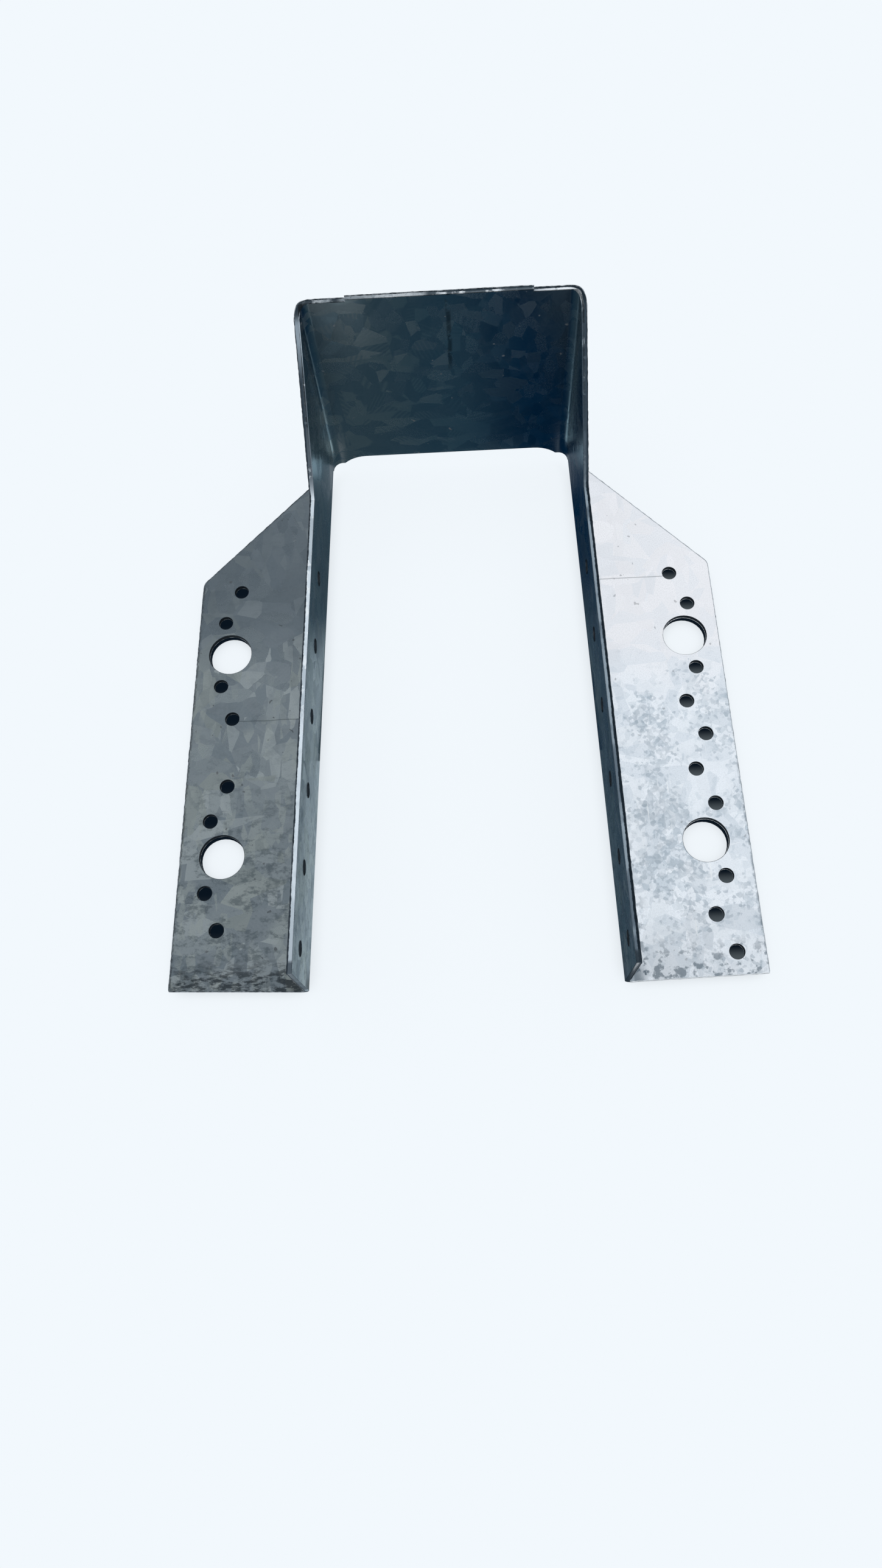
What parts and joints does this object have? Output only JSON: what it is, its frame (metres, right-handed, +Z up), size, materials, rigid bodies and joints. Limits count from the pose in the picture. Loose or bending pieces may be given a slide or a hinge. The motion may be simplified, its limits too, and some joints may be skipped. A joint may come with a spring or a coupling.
{
  "type": "truss hanger",
  "caption": "Folded sheet-metal hanger with a U-shaped seat, tapered legs and outward nailing flanges, which carries the end of a truss or beam on a header.",
  "frame": {"origin": "middle of the footprint, on the underside of the seat", "axes": "+Z up the legs, +Y towards the header, X across the seat"},
  "size_m": [0.1968, 0.0868, 0.2055],
  "materials": {
    "galvanised_sheet": "galvanised, dull with a faint spangle"
  },
  "bodies": {
    "root": {"hanger": "galvanised_sheet"}
  },
  "joints": []
}
